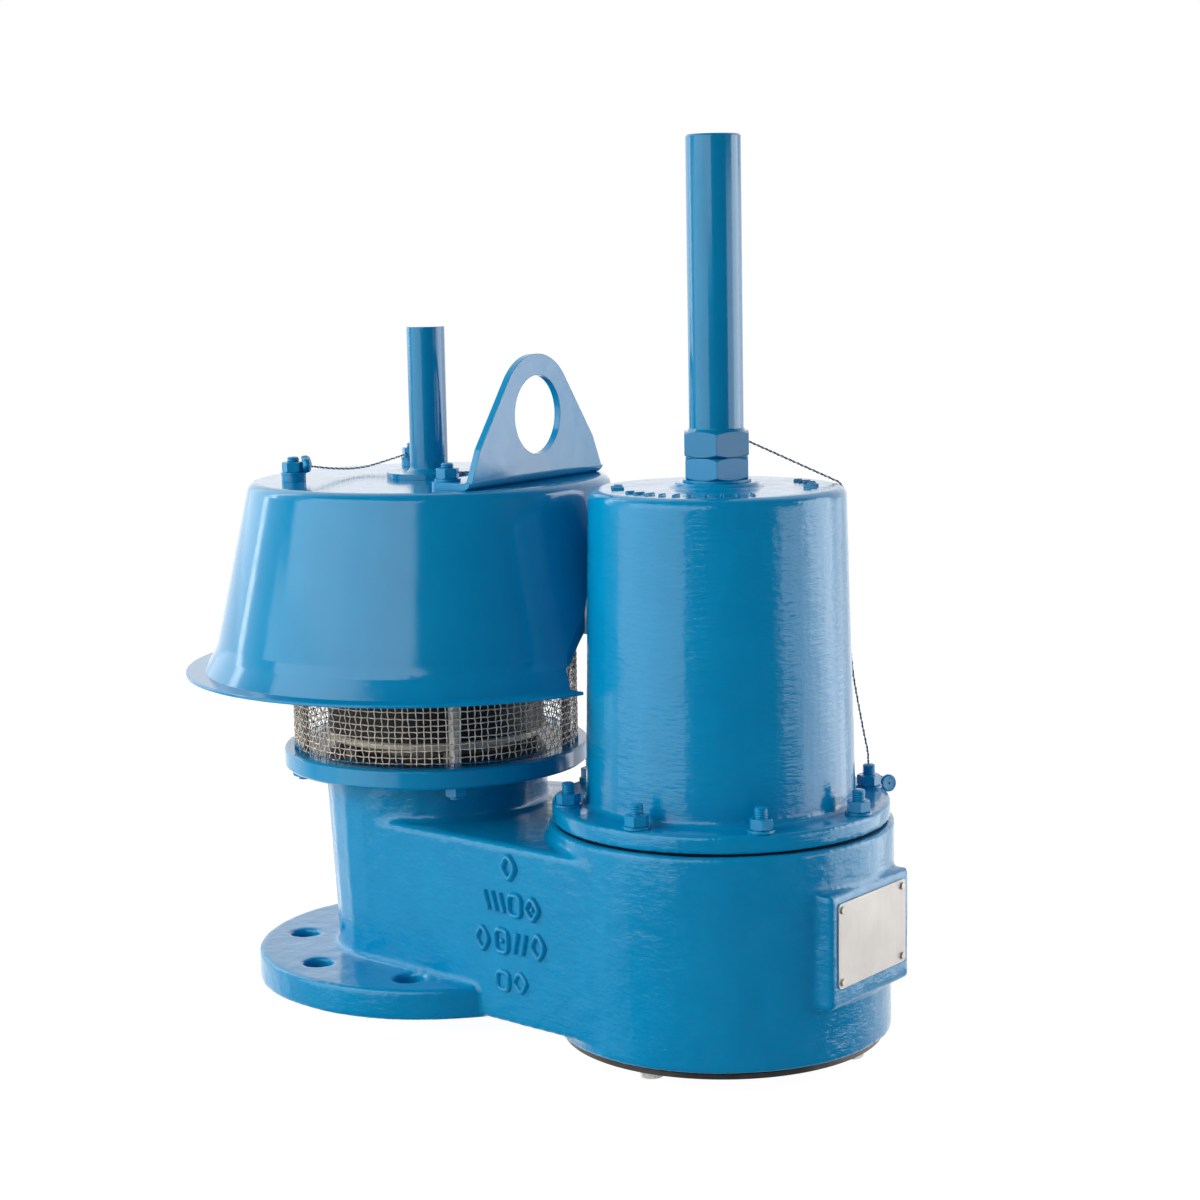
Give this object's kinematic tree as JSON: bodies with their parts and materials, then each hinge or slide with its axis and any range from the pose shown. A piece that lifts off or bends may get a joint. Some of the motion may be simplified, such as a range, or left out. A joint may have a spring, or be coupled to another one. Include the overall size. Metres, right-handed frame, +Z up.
{
  "type": "pressure vacuum relief valve",
  "caption": "End-of-line tank relief valve: a hooded, weight-loaded pressure port on the flange axis and a spring-loaded vacuum chamber with a tall sealed cap beside it.",
  "frame": {"origin": "centre of the tank flange, at the level of its raised face's underside", "axes": "+Z up along the tank nozzle and the pressure side, +X from the flange axis to the axis of the vacuum chamber"},
  "size_m": [0.4927, 0.326, 0.5567],
  "materials": {
    "painted_casting": "gloss paint over rough casting",
    "painted_steel": "gloss paint",
    "painted_fastener": "gloss paint",
    "stainless_steel": "turned and brushed",
    "stainless_mesh": "drawn wire",
    "spring_steel": "satin",
    "bronze": "satin",
    "seal_rubber": "matte",
    "seal_wire": "twisted wire",
    "painted_seal": "gloss paint"
  },
  "bodies": {
    "housing": {"valve_body": "painted_casting", "ring_plate": "painted_steel", "ring_screws": "stainless_steel", "pressure_seat": "stainless_steel", "mesh_screen": "stainless_mesh", "cage_plate": "stainless_steel", "hood_studs": "painted_fastener", "hood_lower_nuts": "painted_fastener", "hood_jam_nuts": "stainless_steel", "hood": "painted_steel", "lifting_lug": "painted_steel", "hood_collars": "painted_steel", "hood_washers": "painted_fastener", "hood_nuts": "painted_fastener", "guide_pipe": "painted_steel", "guide_pipe_plug": "painted_steel", "guide_bush": "bronze", "vacuum_seat": "stainless_steel", "vacuum_seat_screws": "stainless_steel", "upper_spring_plate": "stainless_steel", "inlet_screen": "stainless_mesh", "inlet_ring": "stainless_steel", "inlet_bolts": "stainless_steel", "bonnet_gasket": "seal_rubber", "bonnet": "painted_casting", "bonnet_studs": "painted_fastener", "bonnet_washers": "painted_fastener", "bonnet_nuts": "painted_fastener", "adjusting_screw": "stainless_steel", "boss_washer": "painted_steel", "lock_nut": "painted_steel", "sealed_cap": "painted_steel", "nameplate": "stainless_steel", "nameplate_screws": "stainless_steel", "cap_seal_wire": "seal_wire", "hood_seal_wire_near": "seal_wire", "hood_seal_wire_far": "seal_wire", "cap_lead_seal": "painted_seal", "hood_lead_seal": "painted_seal"},
    "pressure_pallet": {"pressure_pallet_plate": "stainless_steel", "pressure_seal": "seal_rubber", "pressure_retainer": "stainless_steel", "pressure_weights": "stainless_steel", "pressure_stem": "stainless_steel", "pressure_stem_nuts": "stainless_steel"},
    "vacuum_pallet": {"vacuum_pallet_plate": "stainless_steel", "vacuum_seal": "seal_rubber", "vacuum_retainer": "stainless_steel", "vacuum_stem": "stainless_steel", "vacuum_stem_nuts": "stainless_steel", "lower_spring_seat": "stainless_steel", "vacuum_spring": "spring_steel"}
  },
  "joints": [
    {"name": "pressure_lift", "type": "slide", "parent": "housing", "child": "pressure_pallet", "axis": [0, 0, 1], "range_m": [0, 0.032]},
    {"name": "vacuum_lift", "type": "slide", "parent": "housing", "child": "vacuum_pallet", "axis": [0, 0, 1], "range_m": [0, 0.022], "stiffness_N_per_m": 2980, "springref_m": -0.0115, "deforming": ["vacuum_spring"]}
  ]
}
